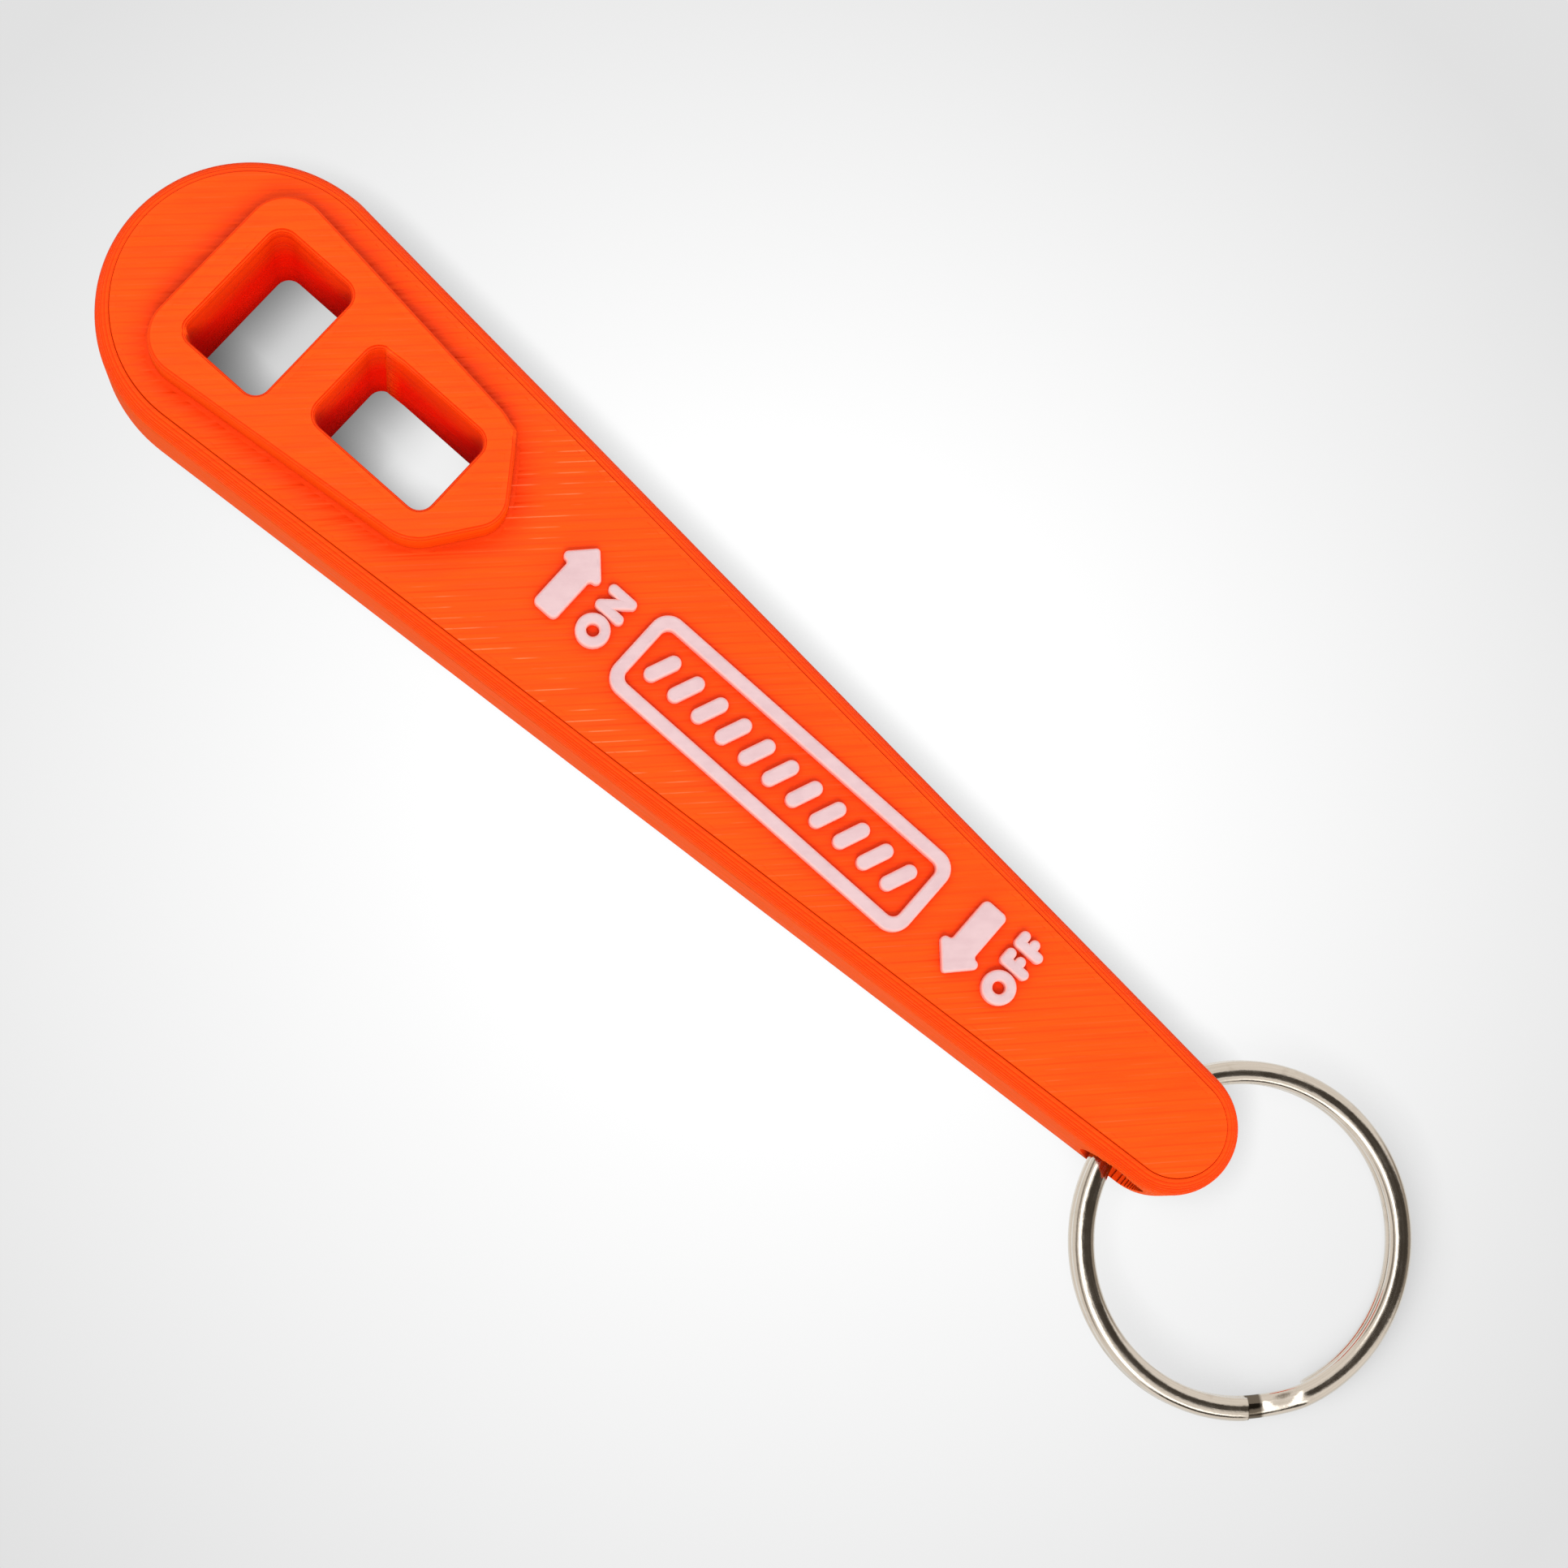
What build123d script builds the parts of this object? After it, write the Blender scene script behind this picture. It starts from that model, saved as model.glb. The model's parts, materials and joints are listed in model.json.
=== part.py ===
from build123d import *
import os
from math import asin, atan, cos, degrees, hypot, radians, sin

# Cylinder-valve wrench: a flat, tapered, printed handle with a raised boss round two
# rectangular valve windows, raised markings in a second filament, and a split key ring
# that passes through a cross bore near the thin end.
#
# Frame, in millimetres: the origin is on the underside, at the centre of the window nearest
# the round end, which is the axis the wrench turns a valve about. +X runs along the handle
# to the key ring, +Z is up, and the wrench lies with its underside on the plane z = 0.

# Handle: two circles joined by tangent lines, with rounded edges
head_radius = 12.05
head_centre_x = -1.85
tail_radius = 5.2
tail_centre_x = 92.5
body_height = 9.6
top_edge_round = 2.2
underside_edge_round = 2.6

# Boss round the windows: tapers towards the tail and ends in a blunt point
boss_height = 2.8
boss_head_x = -6.35
boss_head_half_width = 9.0
boss_shoulder_x = 19.6
boss_shoulder_half_width = 6.3
boss_tip_x = 24.05
boss_head_round = 3.4
boss_shoulder_round = 4.2
boss_tip_round = 2.6
rim_round = 0.8

# Valve windows: one rectangle, used across the handle and along it
window_long = 11.3
window_short = 7.8
window_corner_round = 1.2
along_window_x = 13.2

# Cross bore for the key ring
bore_x = 91.55
bore_radius = 2.9

# Raised markings
mark_height = 0.8
mark_edge_round = 0.25
frame_centre_x = 52.0
frame_length = 29.9
frame_width = 7.56
frame_line = 1.1
frame_corner_round = 1.6
frame_inner_round = 0.7
bar_count = 11
bar_pitch = 2.4
bar_length = 3.1
bar_width = 1.2
bar_lean = 22.0
arrow_length = 6.6
arrow_shaft_width = 2.25
arrow_head_width = 4.4
arrow_head_length = 2.5
arrow_barb_sweep = 0.15
arrow_tail_round = 0.5
arrow_neck_round = 0.3
arrow_barb_round = 0.4
arrow_tip_round = 0.3
on_arrow_place = (30.3, 0.5)
off_arrow_place = (71.22, 0.0)
stroke = 0.86
letter_height = 2.65
wide_letter_width = 2.4
narrow_letter_width = 1.5
middle_arm_drop = 1.0
middle_arm_reach = 0.27
round_letter_radius = 1.37
round_letter_hole_radius = 0.5

# Where each letter's centre lies. The words read along +Y, with their tops towards the head.
letter_places = {
    "letter_on_o": ("O", 34.1, -1.36),
    "letter_on_n": ("N", 34.1, 1.32),
    "letter_off_o": ("O", 75.23, -1.22),
    "letter_off_f1": ("F", 75.13, 1.08),
    "letter_off_f2": ("F", 75.13, 2.78),
}

# Split ring: one flattened wire wound in two turns, one on top of the other
ring_outer_diameter = 28.0
wire_width = 1.85
wire_thickness = 0.85
turn_gap = 0.05
ring_centre_y = -2.05
ring_reach = 11.85
ring_drop = 1.0
floor_gap = 0.02
lower_end_angle = -24.0
climb_end_angle = -25.0
climb_start_angle = -43.0
upper_end_angle = -47.2
climb_steps = 8

# Cutters run this far past the faces they go through
cutter_overrun = 1.0

# Worked out from the sizes above
total_height = body_height + boss_height
bore_z = body_height / 2
ring_mid_radius = (ring_outer_diameter - wire_width) / 2
turn_pitch = wire_thickness + turn_gap


def handle_outline():
    """The handle seen from above: the round head and the round tail in one tangent outline."""
    lean = degrees(asin((head_radius - tail_radius) / (tail_centre_x - head_centre_x)))
    head = CenterArc((head_centre_x, 0), head_radius, 90 - lean, 180 + 2 * lean)
    tail = CenterArc((tail_centre_x, 0), tail_radius, lean - 90, 180 - 2 * lean)
    lower_side = Line(head @ 1, tail @ 0)
    upper_side = Line(tail @ 1, head @ 0)
    return make_face([head, lower_side, tail, upper_side])


def handle():
    """The plain handle with its top and underside edges rounded."""
    solid = extrude(handle_outline(), body_height)
    solid = fillet(solid.edges().group_by(Axis.Z)[-1], top_edge_round)
    return fillet(solid.edges().group_by(Axis.Z)[0], underside_edge_round)


def boss_outline():
    """The boss seen from above, with its five corners rounded."""
    outline = Polyline(
        (boss_head_x, boss_head_half_width),
        (boss_head_x, -boss_head_half_width),
        (boss_shoulder_x, -boss_shoulder_half_width),
        (boss_tip_x, 0),
        (boss_shoulder_x, boss_shoulder_half_width),
        close=True,
    )
    face = make_face(outline)
    face = fillet(face.vertices().group_by(Axis.X)[0], boss_head_round)
    face = fillet(face.vertices().group_by(Axis.X)[-1], boss_tip_round)
    shoulders = face.vertices().sort_by(Axis.X)[-4:-2]
    return fillet(shoulders, boss_shoulder_round)


def window_prism(centre_x, size_x, size_y):
    """A rounded rectangular cutter that runs past both faces."""
    outline = Pos(centre_x, 0, -cutter_overrun) * RectangleRounded(size_x, size_y, window_corner_round)
    return extrude(outline, total_height + 2 * cutter_overrun)


def wrench_body():
    """The printed handle and boss, with both windows and the cross bore."""
    boss = extrude(Pos(0, 0, body_height) * boss_outline(), boss_height)
    windows = window_prism(0, window_short, window_long)
    windows += window_prism(along_window_x, window_long, window_short)
    boss -= windows
    boss = fillet(boss.edges().group_by(Axis.Z)[-1], rim_round)
    body = (handle() - windows) + boss
    bore_length = 2 * (head_radius + cutter_overrun)
    bore = Pos(bore_x, 0, bore_z) * Rot(90, 0, 0) * Cylinder(bore_radius, bore_length)
    return body - bore


def raised(outline):
    """A marking of the second filament, standing on the handle's top face."""
    solid = extrude(Pos(0, 0, body_height) * outline, mark_height)
    return fillet(solid.edges().group_by(Axis.Z)[-1], mark_edge_round)


def frame_border():
    """The rounded rectangular line round the bar pattern."""
    outer = RectangleRounded(frame_length, frame_width, frame_corner_round)
    inner = RectangleRounded(
        frame_length - 2 * frame_line,
        frame_width - 2 * frame_line,
        frame_inner_round,
    )
    return raised(Pos(frame_centre_x, 0) * (outer - inner))


def pattern_bar(index):
    """One of the slanted bars inside the border."""
    x = frame_centre_x + (index - (bar_count - 1) / 2) * bar_pitch
    return raised(Pos(x, 0) * Rot(0, 0, 90 - bar_lean) * SlotOverall(bar_length, bar_width))


def arrow_outline():
    """A block arrow that points along +Y, centred on the origin."""
    tip_y = arrow_length / 2
    neck_y = tip_y - arrow_head_length
    barb_y = neck_y + arrow_barb_sweep
    half_shaft = arrow_shaft_width / 2
    half_head = arrow_head_width / 2
    outline = Polyline(
        (-half_shaft, -tip_y),
        (half_shaft, -tip_y),
        (half_shaft, neck_y),
        (half_head, barb_y),
        (0, tip_y),
        (-half_head, barb_y),
        (-half_shaft, neck_y),
        close=True,
    )
    face = make_face(outline)
    face = fillet(face.vertices().group_by(Axis.Y)[1], arrow_neck_round)
    face = fillet(face.vertices().group_by(Axis.Y)[-2], arrow_barb_round)
    face = fillet(face.vertices().group_by(Axis.Y)[-1], arrow_tip_round)
    return fillet(face.vertices().group_by(Axis.Y)[0], arrow_tail_round)


def arrow(place, turn):
    """An arrow marking, turned about Z and put in its place."""
    return raised(Pos(*place) * Rot(0, 0, turn) * arrow_outline())


def stroke_line(start, end):
    """A straight stroke with round ends, between two points of a letter."""
    run_x = end[0] - start[0]
    run_y = end[1] - start[1]
    middle = Pos((start[0] + end[0]) / 2, (start[1] + end[1]) / 2)
    turn = degrees(atan(run_y / run_x)) if run_x else 90.0
    return middle * Rot(0, 0, turn) * SlotCenterToCenter(hypot(run_x, run_y), stroke)


def letter_outline(shape):
    """A plain round-ended letter, upright and centred on the origin."""
    if shape == "O":
        return Circle(round_letter_radius) - Circle(round_letter_hole_radius)
    width = wide_letter_width if shape == "N" else narrow_letter_width
    right = (width - stroke) / 2
    top = (letter_height - stroke) / 2
    stem = stroke_line((-right, -top), (-right, top))
    if shape == "N":
        diagonal = stroke_line((-right, top), (right, -top))
        return stem + diagonal + stroke_line((right, -top), (right, top))
    top_arm = stroke_line((-right, top), (right, top))
    middle_y = top - middle_arm_drop
    return stem + top_arm + stroke_line((-right, middle_y), (middle_arm_reach, middle_y))


def letter(shape, x, y):
    """A letter marking, turned so that the word reads along +Y."""
    return raised(Pos(x, y) * Rot(0, 0, 90) * letter_outline(shape))


def wire_section(angle, height):
    """The wire's oval section, in the radial plane at an angle round the ring."""
    plane = Plane(
        origin=(ring_mid_radius * cos(radians(angle)), ring_mid_radius * sin(radians(angle)), height),
        x_dir=(cos(radians(angle)), sin(radians(angle)), 0),
        z_dir=(-sin(radians(angle)), cos(radians(angle)), 0),
    )
    return plane * Ellipse(wire_width / 2, wire_thickness / 2)


def ring_turn(start, end, height):
    """A level stretch of the wire, from one angle to another."""
    return revolve(wire_section(start, height), Axis.Z, end - start)


def climb():
    """The short stretch where the wire climbs from the lower turn to the upper one."""
    sections = []
    for step in range(climb_steps + 1):
        part = step / climb_steps
        rise = part * part * (3 - 2 * part) - 0.5
        angle = climb_start_angle + part * (climb_end_angle - climb_start_angle)
        sections.append(wire_section(angle, rise * turn_pitch))
    return loft(sections)


def ring_tilt():
    """How far the ring's far side leans down, so that it rests on the plane z = 0."""
    across = ring_reach + ring_mid_radius
    below = ring_drop + turn_pitch / 2 + wire_thickness / 2
    return degrees(asin((bore_z - floor_gap) / hypot(across, below)) - atan(below / across))


def split_ring():
    """The two-turn key ring, in the bore at one side and on the ground at the other."""
    lower = ring_turn(lower_end_angle, climb_start_angle + 360, -turn_pitch / 2)
    upper = ring_turn(climb_end_angle, upper_end_angle + 360, turn_pitch / 2)
    wire = Pos(ring_reach, ring_centre_y, -ring_drop) * (lower + climb() + upper)
    return Pos(bore_x, 0, bore_z) * Rot(0, ring_tilt(), 0) * wire


nodes = {
    "wrench_body": wrench_body(),
    "frame_border": frame_border(),
    "arrow_on": arrow(on_arrow_place, 0),
    "arrow_off": arrow(off_arrow_place, 180),
    "split_ring": split_ring(),
}
for index in range(bar_count):
    nodes[f"pattern_bar_{index + 1:02d}"] = pattern_bar(index)
for name, (shape, x, y) in letter_places.items():
    nodes[name] = letter(shape, x, y)

os.makedirs("parts", exist_ok=True)
for name, shape in nodes.items():
    export_step(shape, f"parts/{name}.step")
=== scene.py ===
import json
import random
from math import asin, atan, ceil, cos, degrees, hypot, pi, radians, sin, sqrt

import bpy
import numpy as np
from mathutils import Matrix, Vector
from mathutils.geometry import delaunay_2d_cdt

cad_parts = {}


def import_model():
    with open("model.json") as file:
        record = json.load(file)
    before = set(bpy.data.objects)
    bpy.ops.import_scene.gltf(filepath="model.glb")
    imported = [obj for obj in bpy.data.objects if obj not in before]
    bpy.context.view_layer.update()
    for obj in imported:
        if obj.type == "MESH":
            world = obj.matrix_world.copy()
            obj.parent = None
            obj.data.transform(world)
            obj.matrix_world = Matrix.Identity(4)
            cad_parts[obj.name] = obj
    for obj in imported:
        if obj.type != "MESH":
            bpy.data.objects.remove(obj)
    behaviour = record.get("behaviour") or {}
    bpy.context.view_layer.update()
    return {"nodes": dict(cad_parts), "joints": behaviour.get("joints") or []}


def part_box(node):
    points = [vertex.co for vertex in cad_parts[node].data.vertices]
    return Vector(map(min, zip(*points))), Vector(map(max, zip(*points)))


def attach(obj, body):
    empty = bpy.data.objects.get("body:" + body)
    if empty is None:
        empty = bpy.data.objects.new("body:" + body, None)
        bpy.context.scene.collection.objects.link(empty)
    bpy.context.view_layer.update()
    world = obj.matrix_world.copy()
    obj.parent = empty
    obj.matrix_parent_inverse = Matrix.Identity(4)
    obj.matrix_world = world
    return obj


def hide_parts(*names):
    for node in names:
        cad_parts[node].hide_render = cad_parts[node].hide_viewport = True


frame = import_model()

# An orange printed valve wrench with pale pink raised markings and a nickel split ring. The print
# is rebuilt here bead by bead: layer lines on every wall, steps on the rounded edges, and
# raster lines on the flat faces. Sizes below are in millimetres, and MM turns them into metres.
MM = 0.001
random.seed(7)
scene = bpy.context.scene

# The print's sizes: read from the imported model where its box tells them, and otherwise as built
body_low, body_high = (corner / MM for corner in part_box("wrench_body"))
head_radius = body_high.y
head_x = body_low.x + head_radius
tail_radius = 5.2
tail_x = body_high.x - tail_radius
boss_top = body_high.z
deck = 9.6
top_round = 2.2
underside_round = 2.6
rim_round = 0.8
window_long = 11.3
window_short = 7.8
window_corner = 1.2
second_window_x = 13.2
bore_radius = 2.9
hinge = Vector(frame["joints"][0]["pos_m"]) / MM

# How far apart the outlines' points are, in curves and along straight sides
head_step = 0.5
tail_step = 0.4
side_step = 1.6
boss_steps = (0.3, 1.2)
window_steps = (0.24, 1.2)

# The boss seen from above: its five corners and how far each is rounded
boss_corners = [(-6.35, 9.0), (-6.35, -9.0), (19.6, -6.3), (24.05, 0), (19.6, 6.3)]
boss_rounds = [3.4, 3.4, 4.2, 2.6, 4.2]

# The print's beads: one layer's height, the groove between layers, one bead's width, the angle of
# the raster lines, and how far and in which waves a wall wanders from its outline
layer = 0.2
groove = 0.026
bead = 0.42
raster_angle = 45.0
wall_wander = 0.006
wander_waves = (5.0, 11.0, 27.0)

# A step of a rounded edge that is wider than the ledge has a groove at its foot, given as loops
# of (distance out, drop), and layers with the same inset share a loop. The lines that run round
# a flat face are (distance in, drop).
ledge = 0.3
same_inset = 0.004
ledge_groove = ((0.09, 0.0), (0.045, 0.11))
margins = ((0.2, 0.0), (0.4, 0.014))

# How deep the raster lines dip, in turn, and how much that varies. The lines stop short of the
# margins, stray a little, and are left out where there is only room for a very short one.
deck_dips = (0.034, 0.012)
boss_dips = (0.02, 0.01)
underside_dips = (0.012, 0.008)
dip_range = (0.75, 1.25)
margin_gap = 0.04
line_stray = 0.012
shortest_line = 0.2

# Where a bead's crown lies between the bottom and the top of its layer, as shares of the layer
crown_shares = (0.28, 0.72)

# How fast the handle's sides close in towards the tail
side_slope = (head_radius - tail_radius) / (tail_x - head_x)

# Where the layer changes leave a seam on each wall, with its size and width, and the share of
# that size that a layer's bump has
bump_range = (0.5, 1.1)
handle_seam = ((head_x, head_radius), 0.02, 0.5)
boss_seam = ((19.75, 5.95), 0.3, 0.4)
first_window_seam = ((-3.6, -5.3), 0.14, 0.22)
second_window_seam = ((8.65, 3.9), 0.14, 0.22)

# Rectangles seen from above, by two corners: round each window's walls, where shade is painted, and
# the whole boss
first_window_zone = ((-4.4, -6.1), (4.4, 6.1))
second_window_zone = ((7.1, -4.4), (19.3, 4.4))
boss_zone = ((-8.0, -8.0), (22.0, 8.0))


# ---------------------------------------------------------------- outlines
# An outline is a list of (x, y, normal x, normal y), anticlockwise, with normals pointing out.

def arc(x, y, radius, start, end, spacing):
    """Points of an arc, both ends included. Angles are in degrees."""
    count = max(3, ceil(radians(abs(end - start)) * radius / spacing))
    made = []
    for i in range(count + 1):
        a = radians(start + (end - start) * i / count)
        made.append((x + radius * cos(a), y + radius * sin(a), cos(a), sin(a)))
    return made


def between(first, last, spacing):
    """Points of the straight line between two outline points, both ends left out."""
    run = hypot(last[0] - first[0], last[1] - first[1])
    count = max(1, round(run / spacing))
    return [
        (
            first[0] + (last[0] - first[0]) * i / count,
            first[1] + (last[1] - first[1]) * i / count,
            first[2],
            first[3],
        )
        for i in range(1, count)
    ]


def joined(arcs, spacing):
    """A closed outline of arcs with straight lines between them."""
    outline = []
    for index, stretch in enumerate(arcs):
        following = arcs[(index + 1) % len(arcs)]
        outline += stretch + between(stretch[-1], following[0], spacing)
    return outline


def rounded_polygon(corners, rounds, arc_spacing, line_spacing):
    """An anticlockwise polygon with its corners rounded."""
    arcs = []
    for i, (x, y) in enumerate(corners):
        before = Vector(corners[i - 1]) - Vector((x, y))
        after = Vector(corners[(i + 1) % len(corners)]) - Vector((x, y))
        before.normalize()
        after.normalize()
        half = before.angle(after) / 2
        middle = (before + after).normalized()
        centre = Vector((x, y)) + middle * rounds[i] / sin(half)
        start = degrees(np.arctan2(before.x, -before.y))
        turn = 180 - degrees(2 * half)
        arcs.append(arc(centre.x, centre.y, rounds[i], start, start + turn, arc_spacing))
    return joined(arcs, line_spacing)


def handle_outline():
    """The handle seen from above: the round head and tail, joined by tangent lines."""
    lean = degrees(asin((head_radius - tail_radius) / (tail_x - head_x)))
    head = arc(head_x, 0, head_radius, 90 - lean, 270 + lean, head_step)
    tail = arc(tail_x, 0, tail_radius, lean - 90, 90 - lean, tail_step)
    return joined([head, tail], side_step)


def boss_outline():
    """The boss seen from above."""
    return rounded_polygon(boss_corners, boss_rounds, *boss_steps)


def window_outline(x, size_x, size_y):
    """A window seen from above."""
    half_x, half_y = size_x / 2, size_y / 2
    corners = [
        (x - half_x, half_y),
        (x - half_x, -half_y),
        (x + half_x, -half_y),
        (x + half_x, half_y),
    ]
    return rounded_polygon(corners, [window_corner] * 4, *window_steps)


def offset(outline, inset):
    """The outline's points moved in by inset, as an array. inset is one number or one per point."""
    points = np.array(outline)
    return points[:, :2] - points[:, 2:] * np.reshape(inset, (-1, 1))


# ---------------------------------------------------------------- the layered print

class Skin:
    """A mesh under construction: loops of points that share their vertices."""

    def __init__(self):
        self.points = []
        self.faces = []

    def loop(self, flat, height):
        """Adds a loop at one height and returns its vertex numbers."""
        first = len(self.points)
        self.points += [(x, y, height) for x, y in flat]
        return list(range(first, len(self.points)))

    def bridge(self, lower, upper, outwards=True):
        """A band of quads between two loops of the same count."""
        for i in range(len(lower)):
            j = (i + 1) % len(lower)
            quad = (lower[i], lower[j], upper[j], upper[i])
            self.faces.append(quad if outwards else quad[::-1])


def stretches(polygons, origin, along):
    """Where a line runs inside the region that the polygons bound, as pairs of distances."""
    across = np.array((-along[1], along[0]))
    found = []
    for polygon in polygons:
        side = (polygon - origin) @ across
        reach = (polygon - origin) @ along
        next_side, next_reach = np.roll(side, -1), np.roll(reach, -1)
        hit = (side > 0) != (next_side > 0)
        part = side[hit] / (side[hit] - next_side[hit])
        found += list(reach[hit] + part * (next_reach[hit] - reach[hit]))
    found.sort()
    return list(zip(found[::2], found[1::2]))


def plate(skin, outer, holes, height, angle, dips, upwards=True):
    """A flat face between loops that are already in the skin, with raster lines on it.
    outer and holes are (outline, inset of its loop, its vertex numbers)."""
    sign = 1 if upwards else -1
    flat, ids, edges = [], [], []

    def add_loop(points, numbers):
        first = len(flat)
        flat.extend(Vector(p) for p in points)
        ids.extend(numbers)
        count = len(points)
        edges.extend((first + i, first + (i + 1) % count) for i in range(count))

    field = []
    for outline, inset, numbers in [outer] + holes:
        way = 1 if outline is outer[0] else -1
        add_loop(offset(outline, inset), numbers)
        for distance, depth in margins:
            ring = offset(outline, inset + way * distance)
            add_loop(ring, skin.loop(ring, height - sign * depth))
        field.append(offset(outline, inset + way * (margins[-1][0] + margin_gap)))
    along = np.array((cos(radians(angle)), sin(radians(angle))))
    across = np.array((-along[1], along[0]))
    reach = field[0] @ across
    row = ceil(reach.min() / bead)
    while row * bead < reach.max():
        shift = random.uniform(-line_stray, line_stray)
        depth = dips[row % len(dips)] * random.uniform(*dip_range)
        for place, dip in ((0.0, depth), (bead / 3 + shift, 0.0), (2 * bead / 3 + shift, 0.0)):
            origin = across * (row * bead + place)
            for start, end in stretches(field, origin, along):
                if end - start < shortest_line:
                    continue
                first = len(flat)
                ends = [origin + along * t for t in (start, end)]
                flat.extend(Vector(p) for p in ends)
                ids.extend(skin.loop(ends, height - sign * dip))
                edges.append((first, first + 1))
        row += 1
    vertices, _, corners, sources, *_ = delaunay_2d_cdt(flat, edges, [], 0, 1e-6)
    numbers = [
        ids[source[0]] if source else skin.loop([vertex], height)[0]
        for vertex, source in zip(vertices, sources)
    ]
    triangles = [tuple(numbers[i] for i in triangle) for triangle in corners]
    rims = [loop for _, _, loop in [outer] + holes]
    rim_edges = {frozenset(pair) for rim in rims for pair in zip(rim, rim[1:] + rim[:1])}
    for triangle in enclosed(triangles, rim_edges, rims[0][0], rims[0][1]):
        skin.faces.append(triangle if upwards else triangle[::-1])


def enclosed(triangles, rim_edges, first, second):
    """The anticlockwise triangles on the left of the rim edge from first to second, and all
    that are reached from there without crossing a rim edge."""
    by_edge = {}
    for index, (a, b, c) in enumerate(triangles):
        for pair in ((a, b), (b, c), (c, a)):
            by_edge.setdefault(frozenset(pair), []).append(index)
    found = set()
    for index in by_edge[frozenset((first, second))]:
        a, b, c = triangles[index]
        if (first, second) in ((a, b), (b, c), (c, a)):
            found.add(index)
    waiting = list(found)
    while waiting:
        a, b, c = triangles[waiting.pop()]
        for pair in (frozenset((a, b)), frozenset((b, c)), frozenset((c, a))):
            if pair in rim_edges:
                continue
            for other in by_edge[pair]:
                if other not in found:
                    found.add(other)
                    waiting.append(other)
    return [triangles[index] for index in sorted(found)]


def layer_insets(bottom, top, low_round, high_round):
    """(z, z, inset) of each layer of a wall: rounded edges come out as steps."""
    made = []
    for i in range(round((top - bottom) / layer)):
        z = bottom + i * layer
        inset = 0.0
        if high_round and z > top - high_round + 1e-6:
            inset = high_round - sqrt(high_round**2 - (z - top + high_round) ** 2)
        if low_round and z + layer < bottom + low_round - 1e-6:
            inset = low_round - sqrt(low_round**2 - (bottom + low_round - z - layer) ** 2)
        made.append((z, z + layer, inset))
    return made


def wander(outline):
    """A slow random wobble along an outline, a different one for each layer."""
    points = np.array(outline)[:, :2]
    total = np.zeros(len(points))
    for wavelength in wander_waves:
        phase = random.uniform(0, 2 * pi)
        lean = random.uniform(0, 2 * pi)
        run = points @ np.array((cos(lean), sin(lean)))
        total += np.sin(2 * pi * run / wavelength + phase)
    return wall_wander * total / 2


def seam_bump(outline, place, size, width):
    """The bump of the layer changes at one place of an outline."""
    points = np.array(outline)[:, :2]
    gap = np.hypot(*(points - np.array(place)).T)
    return size * np.exp(-((gap / width) ** 2))


def wall(skin, outline, layers, seam, outwards=True):
    """The beads of a wall from its lowest layer up. Returns the first and last loops as
    (inset, vertex numbers). For a window, outwards is False and an inset widens the hole."""
    way = 1 if outwards else -1
    bump = seam_bump(outline, *seam) * way
    loops, last_inset = [], None
    for z0, z1, inset in layers:
        own = wander(outline) + random.uniform(-wall_wander, wall_wander)
        crown = way * (inset + own) - bump * random.uniform(*bump_range)
        valley = way * (inset + groove)
        if last_inset is not None and inset - last_inset > ledge:
            for back, drop in ledge_groove:
                loops.append((valley, skin.loop(offset(outline, valley - way * back), z0 - drop)))
        if last_inset is None or abs(last_inset - inset) > same_inset:
            loops.append((valley, skin.loop(offset(outline, valley), z0)))
        for share in crown_shares:
            loops.append((crown, skin.loop(offset(outline, crown), z0 + share * (z1 - z0))))
        loops.append((valley, skin.loop(offset(outline, valley), z1)))
        last_inset = inset
    for (_, lower), (_, upper) in zip(loops, loops[1:]):
        skin.bridge(lower, upper, outwards)
    return loops[0], loops[-1]


def print_mesh():
    """The whole print without its cross bore, as one closed skin."""
    skin = Skin()
    handle, boss = handle_outline(), boss_outline()
    windows = [
        (window_outline(0, window_short, window_long), first_window_seam),
        (window_outline(second_window_x, window_long, window_short), second_window_seam),
    ]
    handle_layers = layer_insets(0, deck, underside_round, top_round)
    boss_layers = layer_insets(deck, boss_top, 0, rim_round)
    window_layers = layer_insets(0, deck, 0, 0) + boss_layers
    handle_low, handle_high = wall(skin, handle, handle_layers, handle_seam)
    boss_low, boss_high = wall(skin, boss, boss_layers, boss_seam)
    holes_low, holes_high = [], []
    for outline, seam in windows:
        low, high = wall(skin, outline, window_layers, seam, outwards=False)
        holes_low.append((outline, *low))
        holes_high.append((outline, *high))
    plate(skin, (handle, *handle_high), [(boss, *boss_low)], deck, raster_angle, deck_dips)
    plate(skin, (boss, *boss_high), holes_high, boss_top, raster_angle, boss_dips)
    plate(skin, (handle, *handle_low), holes_low, 0, -raster_angle, underside_dips, upwards=False)
    return skin


def mesh_object(name, points, faces, material):
    """An object from points in millimetres."""
    mesh = bpy.data.meshes.new(name)
    mesh.from_pydata([Vector(p) * MM for p in points], [], faces)
    mesh.validate()
    mesh.update()
    mesh.materials.append(material)
    made = bpy.data.objects.new(name, mesh)
    scene.collection.objects.link(made)
    return made


def smooth(piece, angle):
    """Smooth shading that keeps edges sharper than the angle."""
    piece.data.polygons.foreach_set("use_smooth", [True] * len(piece.data.polygons))
    piece.data.set_sharp_from_angle(angle=radians(angle))


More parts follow.
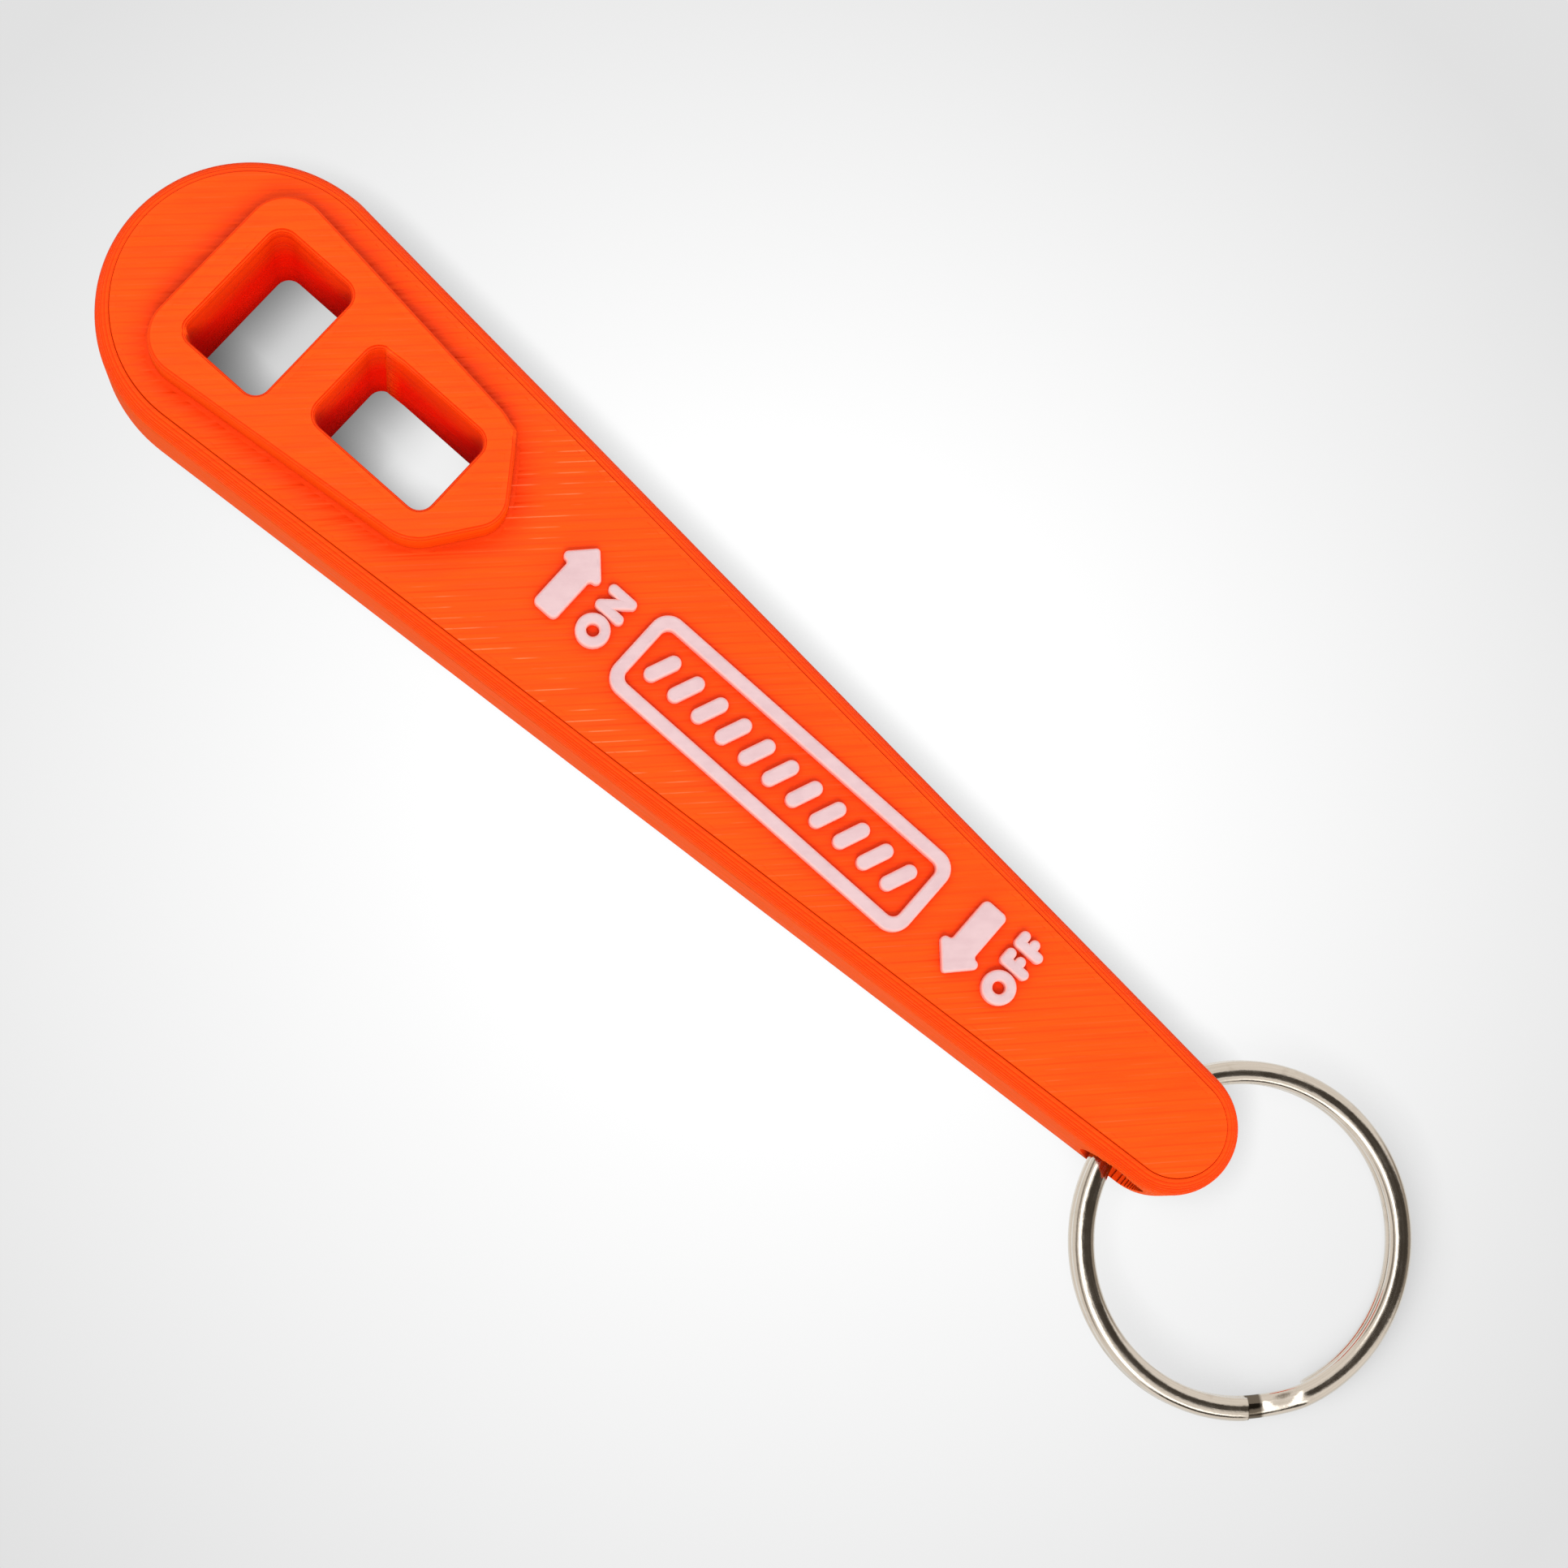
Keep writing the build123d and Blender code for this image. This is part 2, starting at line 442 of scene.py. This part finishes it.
def bore_cutter():
    """A cutter for the cross bore, stepped by the print's layers. It is nudged up a little, so
    that its steps don't fall on the skin's own loops."""
    nudge = 0.0037
    narrowest = 0.3
    right = []
    count = int(bore_radius / layer)
    for i in range(-count - 1, count + 1):
        low, high = i * layer, (i + 1) * layer
        level = min(max(abs(low), abs(high)), bore_radius)
        half = sqrt(bore_radius**2 - level**2)
        if half >= narrowest:
            right += [(half, low), (half, high)]
    profile = right + [(-x, z) for x, z in reversed(right)]
    reach = head_radius + 2
    points = [(hinge.x + x, y, hinge.z + z + nudge) for y in (-reach, reach) for x, z in profile]
    count = len(profile)
    faces = [tuple(range(count)), tuple(reversed(range(count, 2 * count)))]
    faces += [(i, count + i, count + (i + 1) % count, (i + 1) % count) for i in range(count)]
    return points, faces


def cut(piece, cutter):
    """Takes the cutter out of the piece, and removes it."""
    modifier = piece.modifiers.new("bore", "BOOLEAN")
    modifier.operation = "DIFFERENCE"
    modifier.solver = "EXACT"
    modifier.object = cutter
    bpy.context.view_layer.update()
    evaluated = piece.evaluated_get(bpy.context.evaluated_depsgraph_get())
    result = bpy.data.meshes.new_from_object(evaluated)
    piece.modifiers.clear()
    piece.data = result
    bpy.data.objects.remove(cutter)


# ---------------------------------------------------------------- the split ring

# The ring as built. Angles along the wire are in degrees, and go on past 360 in the second turn.
ring_diameter = 28.0
wire_width = 1.85
wire_thickness = 0.85
turn_pitch = 0.9
ring_reach = 11.85
ring_side = -2.05
ring_drop = 1.0
floor_gap = 0.02
lower_end = -24.0
climb_start = 317.0
climb_end = 335.0
upper_end = 672.8
ring_middle = (ring_diameter - wire_width) / 2

# The wire's mesh: points round it, degrees from one section to the next, the sections over which
# the lower end narrows to a point, how much smaller both end faces are, and the cut end's burr
wire_sides = 28
wire_step = 1.5
point_sections = 5
point_narrowing = 0.8
end_size = 0.93
burr_size = 0.04
burr_side = 0.9


def wire_height(angle):
    """Height of the wire's middle above the ring's mid plane, at an angle along its two turns."""
    part = min(max((angle - climb_start) / (climb_end - climb_start), 0), 1)
    return turn_pitch * (part * part * (3 - 2 * part) - 0.5)


def ring_place(point):
    """From the ring's own frame to the row frame: seated in the bore, far side on the floor."""
    across = ring_reach + ring_middle
    below = ring_drop + turn_pitch / 2 + wire_thickness / 2
    tilt = asin((hinge.z - floor_gap) / hypot(across, below)) - atan(below / across)
    x, y, z = point[0] + ring_reach, point[1] + ring_side, point[2] - ring_drop
    return (
        hinge.x + x * cos(tilt) + z * sin(tilt),
        hinge.y + y,
        hinge.z - x * sin(tilt) + z * cos(tilt),
    )


def flattened(value, power):
    """A sine or cosine made a little fuller or leaner, for the wire's section."""
    return abs(value) ** power * (1 if value >= 0 else -1)


def ring_mesh():
    """The wire swept along both turns. Also gives each point's run along the wire and side."""
    count = round((upper_end - lower_end) / wire_step)
    points, faces, runs = [], [], []
    for i in range(count + 1):
        angle = lower_end + (upper_end - lower_end) * i / count
        a = radians(angle)
        size = end_size if i in (0, count) else 1.0
        narrow = 1.0 - point_narrowing * max(0.0, 1.0 - i / point_sections)
        burr = burr_size if i == count else 0.0
        for k in range(wire_sides):
            t = 2 * pi * k / wire_sides
            across = flattened(cos(t), 0.9) * narrow - 1 + narrow
            out = ring_middle + across * wire_width / 2 * size
            out += burr * max(0, cos(t - burr_side)) ** 3
            up = wire_height(angle) + flattened(sin(t), 0.95) * wire_thickness / 2 * size
            points.append(ring_place((out * cos(a), out * sin(a), up)))
            runs.append((a * ring_middle, k / wire_sides))
    for i in range(count):
        near, far = i * wire_sides, (i + 1) * wire_sides
        for k in range(wire_sides):
            m = (k + 1) % wire_sides
            faces.append((far + k, far + m, near + m, near + k))
    faces.append(tuple(range(wire_sides)))
    faces.append(tuple(range(count * wire_sides, (count + 1) * wire_sides))[::-1])
    return points, faces, runs


# ---------------------------------------------------------------- materials

# Colours as linear (red, green, blue). The orange print's: its streaks, the patches and layers that
# are mixed into them, painted light on sloping faces, painted shade on the sides and below the deck's
# edge, raster lines, painted shade where it closes in on itself (also on the low sides), deep red
# painted shade on the windows' walls in the open and closed in, and painted highlights on crests
streak_colours = ((0.835, 0.053, 0.0016), (0.86, 0.065, 0.0026))
patch_colour = (0.85, 0.059, 0.002)
layer_colour = (0.84, 0.054, 0.0012)
slope_light_colour = (0.82, 0.076, 0.0018)
side_shade_colour = (0.74, 0.050, 0.0014)
low_side_shade_colour = (0.60, 0.076, 0.0011)
line_colour = (0.76, 0.038, 0.0012)
crease_shade_colour = (0.56, 0.026, 0.001)
low_side_crease_shade_colour = (0.52, 0.056, 0.0011)
window_shade_colours = ((0.84, 0.010, 0.0004), (0.66, 0.004, 0.0002))
glint_colour = (1.0, 0.33, 0.16)

# The pink markings': two patches, the streaks over them, and the painted orange light on the edges
pink_colours = ((0.475, 0.325, 0.335), (0.505, 0.355, 0.362))
pink_streak_colour = (0.535, 0.385, 0.39)
pink_bounce_light_colour = (0.86, 0.38, 0.33)

# The nickel's: its drawing lines, its duller spots and the painted shade in the notch
nickel_colours = ((0.70, 0.655, 0.585), (0.80, 0.755, 0.69))
spot_colour = (0.56, 0.50, 0.43)
notch_shade_colour = (0.17, 0.145, 0.115)


class Nodes:
    """Short names for building the nodes of a material or of the world."""

    def __init__(self, owner):
        owner.use_nodes = True
        self.owner = owner
        self.tree = owner.node_tree
        self.shader = self.tree.nodes.get("Principled BSDF")

    def add(self, kind, inputs=None, **settings):
        node = self.tree.nodes.new(kind)
        for key, value in settings.items():
            setattr(node, key, value)
        for key, value in (inputs or {}).items():
            self.put(node.inputs[key], value)
        return node

    def put(self, socket, value):
        if isinstance(value, bpy.types.NodeSocket):
            self.tree.links.new(value, socket)
        else:
            socket.default_value = value

    def math(self, operation, a, b=0.0):
        return self.add("ShaderNodeMath", {0: a, 1: b}, operation=operation).outputs[0]

    def times(self, first, *others):
        """The product of two or more values."""
        for other in others:
            first = self.math("MULTIPLY", first, other)
        return first

    def less(self, value):
        """One less the value."""
        return self.math("SUBTRACT", 1.0, value)

    def spread(self, value, low, high, to_low=0.0, to_high=1.0, kind="SMOOTHSTEP"):
        node = self.add(
            "ShaderNodeMapRange",
            {"Value": value, "From Min": low, "From Max": high, "To Min": to_low, "To Max": to_high},
            interpolation_type=kind,
        )
        return node.outputs["Result"]

    def mix(self, share, a, b):
        """Colour a turned into colour b by share. Colours are (red, green, blue) or sockets."""
        node = self.add("ShaderNodeMix", {0: share}, data_type="RGBA")
        colours = [socket for socket in node.inputs if socket.type == "RGBA"]
        for socket, colour in zip(colours, (a, b)):
            self.put(socket, (*colour, 1.0) if isinstance(colour, tuple) else colour)
        return next(socket for socket in node.outputs if socket.type == "RGBA")

    def noise(self, vector, scale, detail=2.0, rough=0.5):
        node = self.add(
            "ShaderNodeTexNoise",
            {"Vector": vector, "Scale": scale, "Detail": detail, "Roughness": rough},
        )
        return node.outputs["Fac"]

    def position(self, turn=0.0, stretch=(1.0, 1.0, 1.0)):
        """Object coordinates in millimetres, turned about Z, then stretched."""
        place = self.add("ShaderNodeTexCoord").outputs["Object"]
        turned = self.add(
            "ShaderNodeMapping",
            {"Vector": place, "Rotation": (0, 0, radians(-turn)), "Scale": (1000, 1000, 1000)},
        ).outputs[0]
        if stretch == (1.0, 1.0, 1.0):
            return turned
        return self.add("ShaderNodeMapping", {"Vector": turned, "Scale": stretch}).outputs[0]

    def split(self, vector):
        """The three parts of a vector."""
        return self.add("ShaderNodeSeparateXYZ", {0: vector}).outputs

    def dot(self, a, b):
        return self.add("ShaderNodeVectorMath", {0: a, 1: b}, operation="DOT_PRODUCT").outputs["Value"]

    def bump(self, height, distance, strength=1.0, below=None):
        node = self.add(
            "ShaderNodeBump", {"Height": height, "Distance": distance, "Strength": strength}
        )
        if below is not None:
            self.put(node.inputs["Normal"], below)
        return node.outputs[0]


def inside(m, place, low, high, soft):
    """1 inside a rectangle seen from above and 0 outside it, with soft edges."""
    share = None
    for value, start, end in zip(m.split(place), low, high):
        rise = m.spread(value, start - soft, start + soft)
        fall = m.spread(value, end - soft, end + soft, 1.0, 0.0)
        share = m.times(rise, fall) if share is None else m.times(share, rise, fall)
    return share


def crest_glints(m, place, flat, pair):
    """Painted highlights on some crests of the top face, most by the boss's tip and along one margin.
    """
    x, y, height = m.split(place)
    crest = m.spread(pair, 0.0, 0.07, 1.0, 0.0)
    by_tip = m.times(
        m.spread(x, 20.0, 22.5),
        m.spread(x, 26.0, 29.0, 1.0, 0.0),
        m.spread(y, -0.8, 1.6),
        m.spread(height, deck + 0.1, deck + 0.3, 0.8, 0.0),
    )
    from_margin = m.math("ADD", y, m.times(x, -side_slope))
    by_edge = m.times(
        m.spread(from_margin, -9.0, -7.6, 1.0, 0.0),
        m.spread(x, 20.0, 26.0),
        m.spread(x, 44.0, 52.0, 1.0, 0.25),
    )
    where = m.math("MAXIMUM", m.math("MAXIMUM", by_tip, by_edge), 0.1)
    on_deck = m.spread(height, deck - 0.15, deck - 0.06)
    patches = m.noise(m.position(raster_angle, (0.28, 0.55, 0.0)), 1.0)
    return m.times(crest, m.spread(patches, 0.42, 0.62), where, on_deck, flat)


def window_wall_shade(m, place, flatness, height):
    """1 on the walls of the two windows, less towards the top, and 0 elsewhere; it sets the painted
    shade that turns these walls deep red. flatness is 1 on a flat face and 0 on an upright one."""
    upright = m.spread(flatness, 0.5, 0.85, 1.0, 0.0)
    deepness = m.times(upright, m.spread(height, 5.5, 12.0, 1.0, 0.4))
    first = inside(m, place, *first_window_zone, 0.1)
    second = inside(m, place, *second_window_zone, 0.1)
    return m.times(deepness, m.math("MAXIMUM", first, second))


def orange_print():
    """Orange filament: raster streaks on flat faces, a tone for each layer on walls, painted light on
    sloping faces, painted shade on the sides and below the deck's edge, painted shade that is darker
    and redder where the print closes in on itself, deep red painted shade on the windows' walls, and
    painted highlights on some crests."""
    m = Nodes(bpy.data.materials.new("orange_print"))
    place = m.position()
    height = m.split(place)[2]
    normal = m.add("ShaderNodeNewGeometry").outputs["True Normal"]
    flatness = m.math("ABSOLUTE", m.split(normal)[2])
    flat = m.spread(flatness, 0.75, 0.92)
    not_flat = m.less(flat)
    sides = m.spread(flatness, 0.15, 0.6, 0.85, 0.0)
    slopes = m.spread(flatness, 0.88, 0.985, 0.9, 0.0)
    low_sides = m.times(sides, m.spread(height, deck - 0.3, deck, 1.0, 0.0))
    shaded_window_walls = window_wall_shade(m, place, flatness, height)

    streaks = m.noise(m.position(raster_angle, (0.16, 1 / (2 * bead), 0.0)), 1.0)
    broad = m.noise(place, 0.11)
    walls = m.noise(m.position(0.0, (0.12, 0.12, 1 / layer)), 1.0)
    level = m.math("FLOOR", m.math("DIVIDE", height, layer))
    tone = m.add("ShaderNodeTexWhiteNoise", {"W": level}, noise_dimensions="1D").outputs["Value"]
    pair = m.math("PINGPONG", m.split(m.position(raster_angle))[1], bead)
    glint = crest_glints(m, place, flat, pair)
    grain = m.math("ADD", m.times(streaks, flat), m.times(walls, not_flat))
    line = m.times(m.spread(pair, bead - 0.11, bead), flat, m.spread(broad, 0.25, 0.7, 0.3, 0.65))

    base = m.mix(m.spread(grain, 0.25, 0.75), *streak_colours)
    base = m.mix(m.times(m.spread(broad, 0.3, 0.7), 0.35), base, patch_colour)
    base = m.mix(m.times(tone, not_flat, 0.25), base, layer_colour)
    # Painted light: sloping faces, such as the rounded edges, take a lighter, yellower tone
    base = m.mix(slopes, base, slope_light_colour)
    # Painted shade: the upright sides are darker
    base = m.mix(sides, base, side_shade_colour)
    # Painted shade: the sides are darker and browner below the deck's edge
    base = m.mix(low_sides, base, low_side_shade_colour)
    base = m.mix(line, base, line_colour)
    # Painted shade: an ambient occlusion node turns the colour darker and redder where the print
    # closes in on itself
    openness = m.add(
        "ShaderNodeAmbientOcclusion", {"Color": (1, 1, 1, 1), "Distance": 0.0028}, samples=4
    ).outputs["AO"]
    crease_shade_share = m.spread(openness, 0.42, 0.95, 1.0, 0.0, "LINEAR")
    closed = m.mix(low_sides, crease_shade_colour, low_side_crease_shade_colour)
    base = m.mix(crease_shade_share, base, closed)
    # Painted shade: the windows' walls deep red, darker where they close in
    base = m.mix(shaded_window_walls, base, m.mix(crease_shade_share, *window_shade_colours))
    # Painted highlights: pale streaks on some crests, which are also less rough
    base = m.mix(m.times(glint, 0.34), base, glint_colour)
    m.put(m.shader.inputs["Base Color"], base)

    rough = m.spread(grain, 0.3, 0.7, 0.46, 0.62)
    m.put(m.shader.inputs["Roughness"], m.math("SUBTRACT", rough, m.times(glint, 0.12)))
    # Less shine on the windows' walls and on the sides, where shade is painted
    in_shade = m.times(m.math("MAXIMUM", shaded_window_walls, sides), 0.09)
    m.put(m.shader.inputs["Specular IOR Level"], m.math("SUBTRACT", 0.1, in_shade))
    speckle = m.bump(m.noise(place, 4.5, 3.0), 0.000012)
    fine = m.noise(m.position(raster_angle, (3.0, 9.0, 9.0)), 1.0, 3.0)
    m.put(m.shader.inputs["Normal"], m.bump(fine, 0.000012, 1.0, speckle))
    return m.owner


def pink_print():
    """Pale pink filament of the raised markings, with painted orange light on their edges and walls.
    """
    m = Nodes(bpy.data.materials.new("pink_print"))
    place = m.position()
    broad = m.noise(place, 0.7)
    streaks = m.noise(m.position(raster_angle, (0.4, 2.4, 0.4)), 1.0)
    normal = m.add("ShaderNodeNewGeometry").outputs["Normal"]
    edges = m.spread(m.split(normal)[2], 0.55, 0.98, 0.9, 0.0)
    base = m.mix(m.spread(broad, 0.3, 0.7), *pink_colours)
    base = m.mix(m.times(m.spread(streaks, 0.35, 0.7), 0.3), base, pink_streak_colour)
    # Painted light: the edges and walls take a brighter orange pink, as if lit by light bounced off
    # the orange deck
    base = m.mix(edges, base, pink_bounce_light_colour)
    m.put(m.shader.inputs["Base Color"], base)
    m.put(m.shader.inputs["Roughness"], m.spread(streaks, 0.3, 0.7, 0.46, 0.6))
    m.put(m.shader.inputs["Specular IOR Level"], 0.25)
    low = m.bump(streaks, 0.00002)
    m.put(m.shader.inputs["Normal"], m.bump(m.noise(place, 5.0, 3.0), 0.00001, 1.0, low))
    return m.owner


def notch_shade(m, run):
    """1 on the wire's cut end and on the wire just past it, where shade is painted, and 0 elsewhere.
    """
    notch_angles = (climb_start - 4.6, climb_start + 1.0, upper_end)
    start, end, cut = (ring_middle * radians(angle) for angle in notch_angles)
    in_shade = m.times(m.spread(run, start, start + 0.2), m.spread(run, end, end + 0.35, 1.0, 0.0))
    return m.math("MAXIMUM", in_shade, m.spread(run, cut - 0.12, cut))


def nickel():
    """Bright nickel plate on drawn wire, with drawing lines along it, a few duller spots, and painted
    shade on the cut end and the wire just past it.
    """
    m = Nodes(bpy.data.materials.new("nickel"))
    run = m.add("ShaderNodeAttribute", attribute_name="run").outputs["Fac"]
    side = m.add("ShaderNodeAttribute", attribute_name="side").outputs["Fac"]
    place = m.position()
    lines = m.add("ShaderNodeCombineXYZ", {0: m.times(run, 0.12), 1: m.times(side, 26.0)}).outputs[0]
    drawn = m.noise(lines, 1.0, 3.0)
    spots = m.noise(place, 0.9, 3.0)
    base = m.mix(m.spread(drawn, 0.3, 0.7), *nickel_colours)
    base = m.mix(m.times(m.spread(spots, 0.55, 0.75), 0.35), base, spot_colour)
    # Painted shade: the cut end and the wire just past it are dark
    base = m.mix(notch_shade(m, run), base, notch_shade_colour)
    m.put(m.shader.inputs["Base Color"], base)
    m.put(m.shader.inputs["Metallic"], 1.0)
    m.put(m.shader.inputs["Roughness"], m.spread(m.math("ADD", drawn, spots), 0.6, 1.4, 0.06, 0.17))
    low = m.bump(drawn, 0.000006)
    m.put(m.shader.inputs["Normal"], m.bump(m.noise(place, 2.2), 0.00001, 0.6, low))
    return m.owner


# ---------------------------------------------------------------- the pieces

orange, pink, metal = orange_print(), pink_print(), nickel()

skin = print_mesh()
print_piece = mesh_object("print_body", skin.points, skin.faces, orange)
cut(print_piece, mesh_object("bore_cutter", *bore_cutter(), orange))
smooth(print_piece, 40)
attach(print_piece, "wrench")
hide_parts("wrench_body")

points, faces, runs = ring_mesh()
ring_piece = mesh_object("ring_wire", points, faces, metal)
for name, column in (("run", 0), ("side", 1)):
    attribute = ring_piece.data.attributes.new(name, "FLOAT", "POINT")
    attribute.data.foreach_set("value", [r[column] for r in runs])
smooth(ring_piece, 50)
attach(ring_piece, "ring")
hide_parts("split_ring")

for name, node in frame["nodes"].items():
    if name not in ("wrench_body", "split_ring"):
        for slot in node.material_slots:
            slot.material = pink


# ---------------------------------------------------------------- the studio

# The camera, and the floor, in metres
camera_place = (0.05433, -0.04226, 0.24101)
camera_turn = (7.9715, -6.5012, 41.1274)
camera_lens = 70.79
floor_reach = 1.5
floor_drop = 0.00004

# The floor's light: its middle in millimetres, and its brightness there and far away
floor_middle = (52.7, 1.4, 0.0)
floor_bright = 1.01
floor_dim = 0.755
shade_way = (-0.35, -0.80, 0.48)

# Inside each window: the floor's rectangle, and how its light rises along x and along y, as
# (from, to, least light, most light)
window_floors = [
    ((-4.5, -6.5), (4.5, 6.5), (-5.5, 1.0, 0.31, 0.745), (-5.5, 0.0, 0.55, 1.0)),
    ((6.5, -4.5), (20.0, 4.5), (5.5, 15.0, 0.32, 0.90), (-4.0, 0.0, 0.6, 1.0)),
]

# The room: its light, the side more of it comes from, and what mirrors see in it, which is a
# plain colour with ovals given by (right, front) middle, half size and colour
room_light = 0.84
light_side = (0.0, 0.22, 0.0)
room_right = (0.748, 0.664, 0.0)
room_front = (0.664, -0.748, 0.0)
room_colour = (0.84, 0.78, 0.72)
room_patches = [
    ((0.60, 0.13), (0.44, 0.21), (0.06, 0.05, 0.04)),
    ((1.06, 0.10), (0.22, 0.55), (0.34, 0.29, 0.235)),
    ((0.05, 0.30), (0.13, 0.42), (2.4, 2.35, 2.25)),
    ((0.22, 0.60), (0.24, 0.06), (2.0, 1.95, 1.85)),
    ((0.20, 0.76), (0.30, 0.09), (0.07, 0.06, 0.05)),
    ((-0.40, 0.05), (0.16, 0.60), (0.30, 0.26, 0.22)),
]

# The lamps: name, place, aim, size and power
lamps = [
    ("key", (0.448, -0.449, 0.86), (0.05, 0.0, 0.0), 0.5, 9.4),
    ("top", (-0.06, 0.0, 0.34), (0.0, 0.0, 0.0), 0.3, 0.36),
]


def camera():
    """The camera, at the photograph's viewing angle."""
    data = bpy.data.cameras.new("camera")
    data.lens = camera_lens
    data.sensor_width = 36.0
    data.clip_start = 0.01
    data.clip_end = 20.0
    made = bpy.data.objects.new("camera", data)
    made.location = camera_place
    made.rotation_euler = [radians(turn) for turn in camera_turn]
    scene.collection.objects.link(made)
    scene.camera = made


def occlusion(m, distance, lean, samples):
    """How open a point is, from 0 to 1, looking along lean as far as distance."""
    way = m.add("ShaderNodeCombineXYZ", dict(enumerate(Vector(lean).normalized()))).outputs[0]
    inputs = {"Color": (1, 1, 1, 1), "Distance": distance, "Normal": way}
    return m.add("ShaderNodeAmbientOcclusion", inputs, samples=samples).outputs["AO"]


def window_light(m, place):
    """How much light reaches the floor through the two windows: least at the head end."""
    x, y, _ = m.split(place)
    total = None
    for low, high, along_x, along_y in window_floors:
        light = m.times(m.spread(x, *along_x), m.spread(y, *along_y))
        share = inside(m, place, low, high, 0.2)
        own = m.math("ADD", m.less(share), m.times(share, light))
        total = own if total is None else m.times(total, own)
    return total


def under_tool(m, place):
    """Nearly 0 on the floor below the boss, so that it lends the window walls little light."""
    return m.less(m.times(inside(m, place, *boss_zone, 0.5), 0.85))


def emission(m, strength):
    return m.add("ShaderNodeEmission", {"Color": (1, 1, 1, 1), "Strength": strength}).outputs[0]


def floor():
    """A pale sweep that gives its own even light, darker where the object shades it."""
    mesh = bpy.data.meshes.new("floor")
    sides = ((-1, -1), (1, -1), (1, 1), (-1, 1))
    corners = [(x * floor_reach, y * floor_reach, -floor_drop) for x, y in sides]
    mesh.from_pydata(corners, [], [(0, 1, 2, 3)])
    made = bpy.data.objects.new("floor", mesh)
    scene.collection.objects.link(made)
    m = Nodes(bpy.data.materials.new("floor"))
    m.tree.nodes.remove(m.shader)
    place = m.position()
    way_out = m.add("ShaderNodeVectorMath", {0: place, 1: floor_middle}, operation="DISTANCE")
    level = m.spread(way_out.outputs["Value"], 27.0, 84.0, floor_bright, floor_dim, "LINEAR")
    near = occlusion(m, 0.005, shade_way, 16)
    contact = m.spread(near, 0.2, 0.9, 0.5, 1.0, "LINEAR")
    shown = emission(m, m.times(level, contact, window_light(m, place)))
    given = emission(m, m.times(level, under_tool(m, place)))
    seen = m.add("ShaderNodeLightPath").outputs["Is Camera Ray"]
    both = m.add("ShaderNodeMixShader", {0: seen, 1: given, 2: shown}).outputs[0]
    output = next(node for node in m.tree.nodes if node.type == "OUTPUT_MATERIAL")
    m.put(output.inputs["Surface"], both)
    mesh.materials.append(m.owner)


def room_patch(m, right, front, middle, half):
    """1 inside an oval of the room, given by how far right and to the front it lies."""
    a = m.math("DIVIDE", m.math("SUBTRACT", right, middle[0]), half[0])
    b = m.math("DIVIDE", m.math("SUBTRACT", front, middle[1]), half[1])
    reach = m.math("SQRT", m.math("ADD", m.times(a, a), m.times(b, b)))
    return m.spread(reach, 0.7, 1.2, 1.0, 0.0)


def world():
    """An even pale room. Mirrors see its colour and its patches instead."""
    scene.world = bpy.data.worlds.new("studio")
    m = Nodes(scene.world)
    way = m.add("ShaderNodeTexCoord").outputs["Generated"]
    right, front = m.dot(way, room_right), m.dot(way, room_front)
    colour = room_colour
    for middle, half, shade in room_patches:
        colour = m.mix(room_patch(m, right, front, middle, half), colour, shade)
    mirror = m.add("ShaderNodeLightPath").outputs["Is Glossy Ray"]
    light = m.times(m.math("ADD", 1.0, m.dot(way, light_side)), room_light)
    background = m.tree.nodes["Background"]
    m.put(background.inputs["Color"], m.mix(mirror, (1.0, 1.0, 1.0), colour))
    m.put(background.inputs["Strength"], m.spread(mirror, 0.0, 1.0, light, 1.0, "LINEAR"))


def soft_box(name, place, aim, size, power):
    """A round soft lamp that mirrors don't see."""
    light = bpy.data.lights.new(name, "AREA")
    light.shape = "DISK"
    light.size = size
    light.energy = power
    made = bpy.data.objects.new(name, light)
    made.location = place
    made.rotation_euler = (Vector(aim) - Vector(place)).to_track_quat("-Z", "Y").to_euler()
    made.visible_glossy = False
    scene.collection.objects.link(made)


scene.view_settings.view_transform = "Standard"
camera()
floor()
world()
for lamp in lamps:
    soft_box(*lamp)
